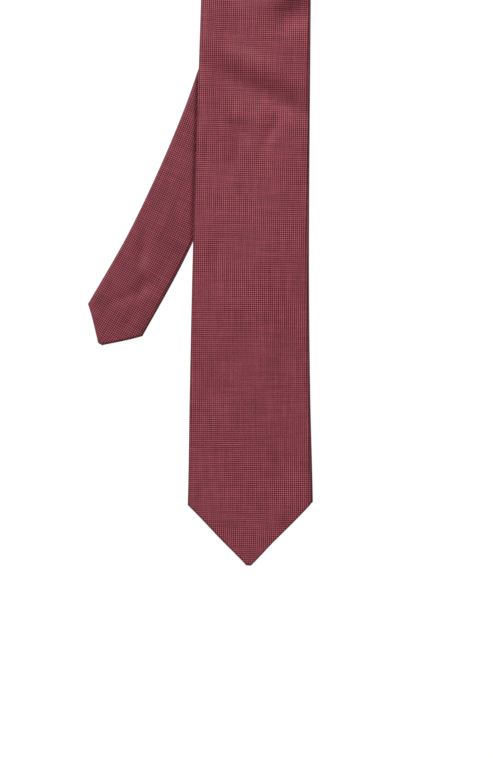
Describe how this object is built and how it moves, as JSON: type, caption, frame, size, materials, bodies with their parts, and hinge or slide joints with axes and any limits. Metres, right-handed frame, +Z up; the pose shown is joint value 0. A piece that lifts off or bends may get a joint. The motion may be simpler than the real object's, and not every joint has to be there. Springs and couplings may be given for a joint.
{
  "type": "necktie",
  "caption": "Lined silk necktie laid out flat as if round a collar: wide pointed front blade on top, narrow tail beneath, folded at the neck.",
  "frame": {"origin": "middle of the laid-out tie's footprint, on the surface that it lies on", "axes": "+Y from the front point towards the neck, +Z up out of the face of the front blade, +X to the right of the front blade seen from above"},
  "size_m": [0.2022, 0.7792, 0.0082],
  "materials": {
    "shell_silk": "fine two-tone woven silk, satin sheen",
    "tipping_lining": "plain smooth lining",
    "interlining_wool": "brushed wool",
    "sewing_thread": "twisted silk thread",
    "label_satin": "woven satin ribbon, blank",
    "care_satin": "printed-label satin, blank"
  },
  "bodies": {
    "tail": {"tail_shell": "shell_silk", "neck_shell_tail_side": "shell_silk", "tail_interlining": "interlining_wool", "tail_tipping": "tipping_lining", "tail_slip_stitch": "sewing_thread", "tail_bar_tack": "sewing_thread", "tail_piecing_seam": "sewing_thread"},
    "neck": {"neck_shell_middle": "shell_silk", "neck_interlining": "interlining_wool", "neck_slip_stitch": "sewing_thread"},
    "upper_blade": {"front_shell_upper": "shell_silk", "neck_shell_front_side": "shell_silk", "front_interlining_upper": "interlining_wool", "front_slip_stitch_upper": "sewing_thread", "front_piecing_seam": "sewing_thread"},
    "lower_blade": {"front_shell_lower": "shell_silk", "front_interlining_lower": "interlining_wool", "front_tipping": "tipping_lining", "front_slip_stitch_lower": "sewing_thread", "front_bar_tack": "sewing_thread", "keeper_loop": "shell_silk", "keeper_loop_tack_left": "sewing_thread", "keeper_loop_tack_right": "sewing_thread", "maker_label": "label_satin", "maker_label_stitches_left": "sewing_thread", "maker_label_stitches_right": "sewing_thread", "care_label_stitches": "sewing_thread"},
    "care_label": {"care_label": "care_satin"}
  },
  "joints": [
    {"name": "tail_fold", "type": "hinge", "parent": "tail", "child": "neck", "pos_m": [0.08451, 0.37294, 0.00355], "axis": [-0.7071, 0.7071, 0], "range_deg": [0, 179]},
    {"name": "blade_fold", "type": "hinge", "parent": "neck", "child": "upper_blade", "pos_m": [0.0116, 0.37294, 0.00355], "axis": [-0.7071, -0.7071, 0], "range_deg": [0, 179]},
    {"name": "blade_bend", "type": "hinge", "parent": "upper_blade", "child": "lower_blade", "pos_m": [0.00743, 0.01043, 0.0085], "axis": [-0.9998, 0.0196, 0], "range_deg": [0, 179]},
    {"name": "care_label_flip", "type": "hinge", "parent": "lower_blade", "child": "care_label", "pos_m": [0.01734, -0.23756, 0.00226], "axis": [1, 0, 0], "range_deg": [0, 170]}
  ]
}
